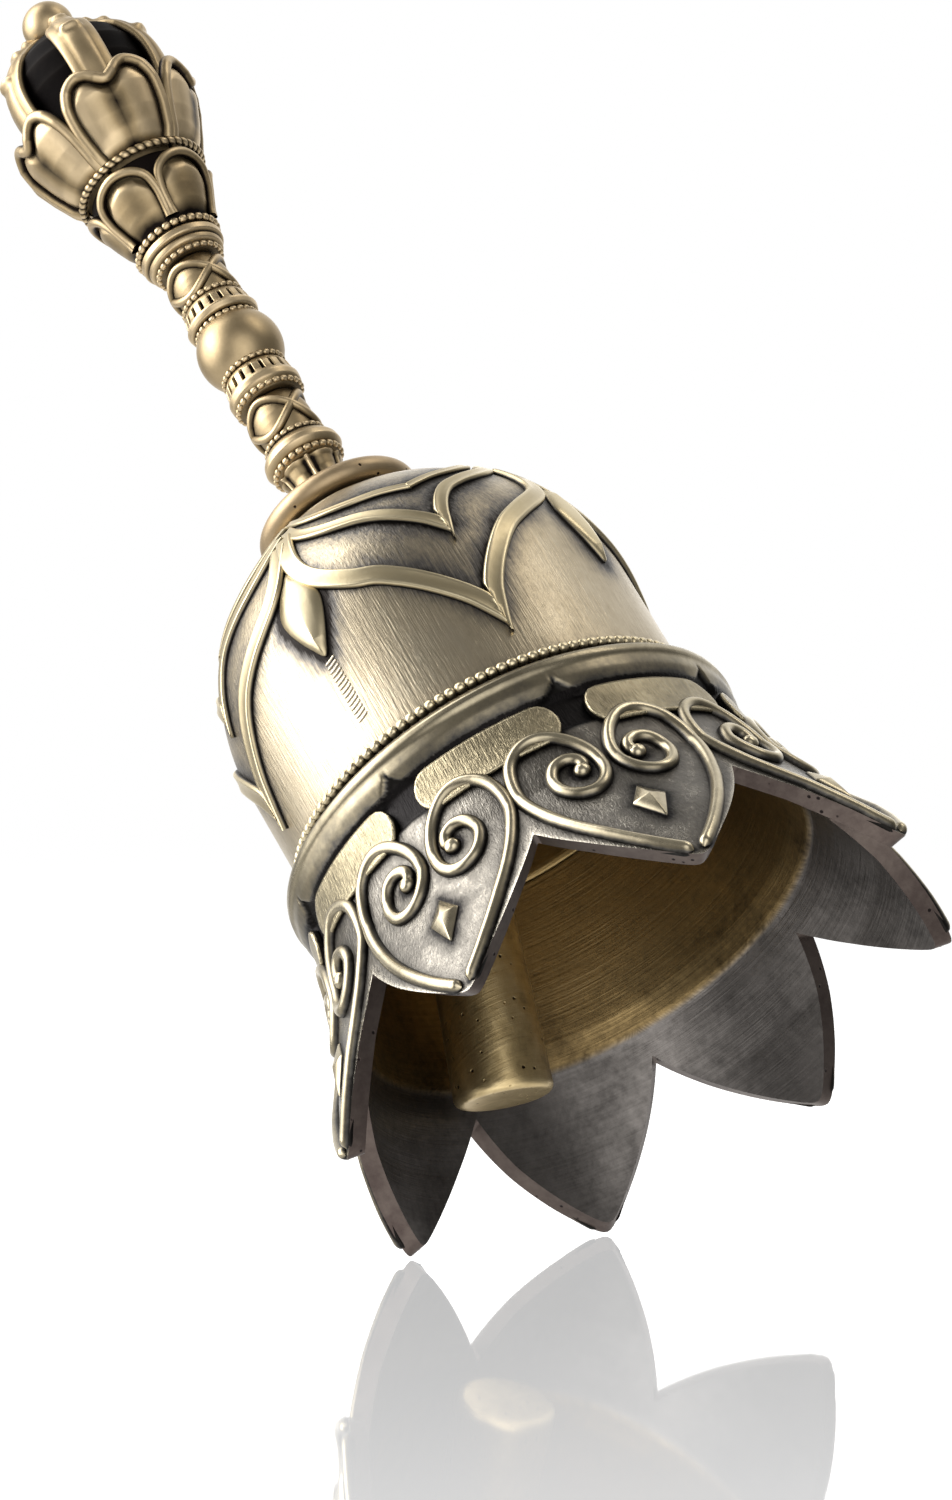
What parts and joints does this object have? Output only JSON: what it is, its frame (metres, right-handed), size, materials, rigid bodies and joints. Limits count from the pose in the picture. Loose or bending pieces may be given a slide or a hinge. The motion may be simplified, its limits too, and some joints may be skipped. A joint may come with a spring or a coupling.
{
  "type": "tibetan bell",
  "caption": "Hand bell with a relief-cast dome, a flared petal skirt, a stacked ornamental handle with a caged crown, and a clapper on a link that swings two ways.",
  "frame": {"origin": "on the bell's axis, in the plane of the petal tips", "axes": "+Z along the bell's axis from the mouth to the finial; -Y is the side in the picture"},
  "size_m": [0.0846, 0.0846, 0.19],
  "materials": {
    "dome_brass": "brushed antique brass with dark patina in the relief",
    "skirt_metal": "dark antique bell metal with worn bright edges",
    "handle_brass": "satin antique brass, near black in the recesses",
    "flange_brass": "warm coppery cast brass with small pits",
    "recess_brass": "blackened brass",
    "clapper_brass": "rough cast brass with pits",
    "steel": "plain dull steel"
  },
  "bodies": {
    "bell": {"bell_dome": "dome_brass", "bead_band": "dome_brass", "petal_skirt": "skirt_metal", "seat_washer": "recess_brass", "neck_flange": "flange_brass", "ribbed_neck": "handle_brass", "lower_collar": "handle_brass", "lower_lattice": "handle_brass", "lower_drum": "handle_brass", "grip_ball": "handle_brass", "upper_drum": "handle_brass", "upper_lattice": "handle_brass", "upper_collar": "handle_brass", "lower_lotus_cup": "handle_brass", "rope_ring": "handle_brass", "upper_lotus_cup": "handle_brass", "crown_prong_1": "handle_brass", "crown_prong_2": "handle_brass", "crown_prong_3": "handle_brass", "crown_prong_4": "handle_brass", "crown_prong_5": "handle_brass", "centre_prong": "recess_brass", "finial_ball": "handle_brass", "tie_rod": "steel", "clamp_washer": "steel", "hanger_eye": "steel"},
    "link": {"link_ring": "steel"},
    "clapper": {"clapper_eye": "steel", "clapper_cylinder": "clapper_brass"}
  },
  "joints": [
    {"name": "link_swing", "type": "hinge", "parent": "bell", "child": "link", "pos_m": [0, 0, 0.0782], "axis": [1, 0, 0], "range_deg": [-30, 2]},
    {"name": "clapper_swing", "type": "hinge", "parent": "link", "child": "clapper", "pos_m": [0, 0.00179, 0.07102], "axis": [0, 0.9703, 0.2419], "range_deg": [-39, 1]}
  ]
}
